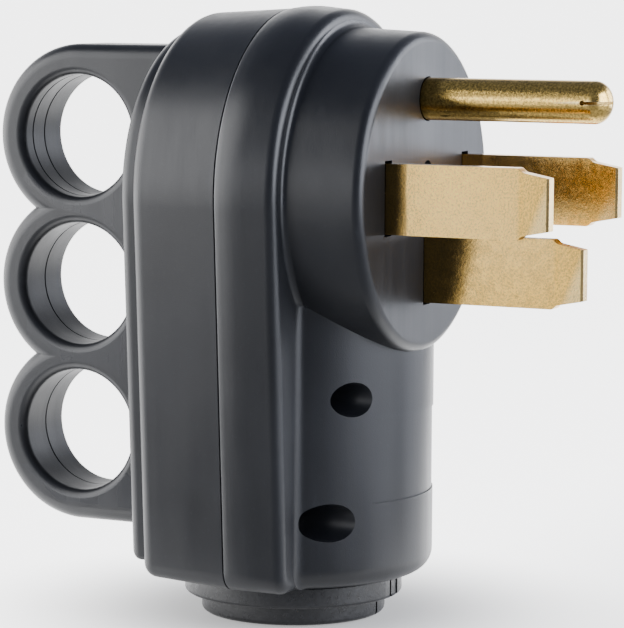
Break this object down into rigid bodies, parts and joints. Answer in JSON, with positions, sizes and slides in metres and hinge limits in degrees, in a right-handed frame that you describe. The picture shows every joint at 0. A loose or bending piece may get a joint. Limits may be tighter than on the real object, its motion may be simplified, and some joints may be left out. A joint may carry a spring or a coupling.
{
  "type": "four-blade power plug",
  "caption": "Angled four-blade power plug with a split black housing, finger-ring handle, screw terminals inside and a bushed cord outlet at the bottom.",
  "frame": {"origin": "centre of the round contact face, in its plane", "axes": "-Y out of the contact face along the blades, +Y towards the handle, +Z towards the ground pin, -Z along the cord outlet"},
  "size_m": [0.0612, 0.1105, 0.1024],
  "materials": {
    "housing": "satin moulded",
    "insulator": "matte moulded",
    "bushing": "grainy",
    "contacts": "tumbled",
    "hot_screws": "machined",
    "ground_screw": "green passivated",
    "steel": "zinc plated"
  },
  "bodies": {
    "front_shell": {"front_housing": "housing", "contact_carrier": "insulator", "carrier_screw": "steel", "hot_blade_left": "contacts", "hot_blade_right": "contacts", "neutral_blade": "contacts", "ground_pin": "contacts", "ground_terminal": "contacts", "cord_bushing": "bushing"},
    "cover": {"rear_cover": "housing"},
    "hot_left_clamp": {"hot_left_clamp_plate": "steel"},
    "hot_left_screw": {"hot_left_terminal_screw": "hot_screws"},
    "hot_right_clamp": {"hot_right_clamp_plate": "steel"},
    "hot_right_screw": {"hot_right_terminal_screw": "hot_screws"},
    "neutral_clamp": {"neutral_clamp_plate": "steel"},
    "neutral_screw": {"neutral_terminal_screw": "steel"},
    "ground_clamp": {"ground_clamp_plate": "steel"},
    "ground_screw": {"ground_terminal_screw": "ground_screw"},
    "cord_clamp": {"cord_clamp_saddle": "insulator"},
    "cord_screw_left": {"cord_clamp_screw_left": "steel"},
    "cord_screw_right": {"cord_clamp_screw_right": "steel"},
    "housing_screw_upper_left": {"housing_screw_upper_left": "steel"},
    "housing_screw_upper_right": {"housing_screw_upper_right": "steel"},
    "housing_screw_lower_left": {"housing_screw_lower_left": "steel"},
    "housing_screw_lower_right": {"housing_screw_lower_right": "steel"}
  },
  "joints": [
    {"name": "cover_slide", "type": "slide", "parent": "front_shell", "child": "cover", "axis": [0, 1, 0], "range_m": [0, 0.03]},
    {"name": "hot_left_clamp_slide", "type": "slide", "parent": "front_shell", "child": "hot_left_clamp", "axis": [0, -1, 0], "range_m": [0, 0.0042]},
    {"name": "hot_left_screw_turn", "type": "hinge", "parent": "hot_left_clamp", "child": "hot_left_screw", "pos_m": [-0.0111, 0.0223, 0], "axis": [0, -1, 0], "range_deg": [0, 1906]},
    {"name": "hot_right_clamp_slide", "type": "slide", "parent": "front_shell", "child": "hot_right_clamp", "axis": [0, -1, 0], "range_m": [0, 0.0042]},
    {"name": "hot_right_screw_turn", "type": "hinge", "parent": "hot_right_clamp", "child": "hot_right_screw", "pos_m": [0.0111, 0.0223, 0], "axis": [0, -1, 0], "range_deg": [0, 1906]},
    {"name": "neutral_clamp_slide", "type": "slide", "parent": "front_shell", "child": "neutral_clamp", "axis": [0, -1, 0], "range_m": [0, 0.0042]},
    {"name": "neutral_screw_turn", "type": "hinge", "parent": "neutral_clamp", "child": "neutral_screw", "pos_m": [0.0048, 0.0223, -0.01345], "axis": [0, -1, 0], "range_deg": [0, 1906]},
    {"name": "ground_clamp_slide", "type": "slide", "parent": "front_shell", "child": "ground_clamp", "axis": [0, -1, 0], "range_m": [0, 0.0042]},
    {"name": "ground_screw_turn", "type": "hinge", "parent": "ground_clamp", "child": "ground_screw", "pos_m": [0.0084, 0.0223, 0.0149], "axis": [0, -1, 0], "range_deg": [0, 1906]},
    {"name": "cord_clamp_slide", "type": "slide", "parent": "front_shell", "child": "cord_clamp", "axis": [0, -1, 0], "range_m": [0, 0.004]},
    {"name": "cord_screw_left_turn", "type": "hinge", "parent": "cord_clamp", "child": "cord_screw_left", "pos_m": [-0.0175, 0.0263, -0.043], "axis": [0, -1, 0], "range_deg": [0, 1441]},
    {"name": "cord_screw_right_turn", "type": "hinge", "parent": "cord_clamp", "child": "cord_screw_right", "pos_m": [0.0175, 0.0263, -0.043], "axis": [0, -1, 0], "range_deg": [0, 1441]},
    {"name": "housing_screw_upper_left_turn", "type": "hinge", "parent": "front_shell", "child": "housing_screw_upper_left", "pos_m": [-0.0152, 0.0192, -0.033], "axis": [0, 1, 0], "continuous": true},
    {"name": "housing_screw_upper_right_turn", "type": "hinge", "parent": "front_shell", "child": "housing_screw_upper_right", "pos_m": [0.0152, 0.0192, -0.033], "axis": [0, 1, 0], "continuous": true},
    {"name": "housing_screw_lower_left_turn", "type": "hinge", "parent": "front_shell", "child": "housing_screw_lower_left", "pos_m": [-0.018, 0.0192, -0.0531], "axis": [0, 1, 0], "continuous": true},
    {"name": "housing_screw_lower_right_turn", "type": "hinge", "parent": "front_shell", "child": "housing_screw_lower_right", "pos_m": [0.018, 0.0192, -0.0531], "axis": [0, 1, 0], "continuous": true}
  ],
  "couplings": [
    {"joint": "hot_left_screw_turn", "follows": "hot_left_clamp_slide", "rad_per_m": 7913.3},
    {"joint": "hot_right_screw_turn", "follows": "hot_right_clamp_slide", "rad_per_m": 7913.3},
    {"joint": "neutral_screw_turn", "follows": "neutral_clamp_slide", "rad_per_m": 7913.3},
    {"joint": "ground_screw_turn", "follows": "ground_clamp_slide", "rad_per_m": 7913.3},
    {"joint": "cord_screw_left_turn", "follows": "cord_clamp_slide", "rad_per_m": 6283.2},
    {"joint": "cord_screw_right_turn", "follows": "cord_clamp_slide", "rad_per_m": 6283.2}
  ]
}
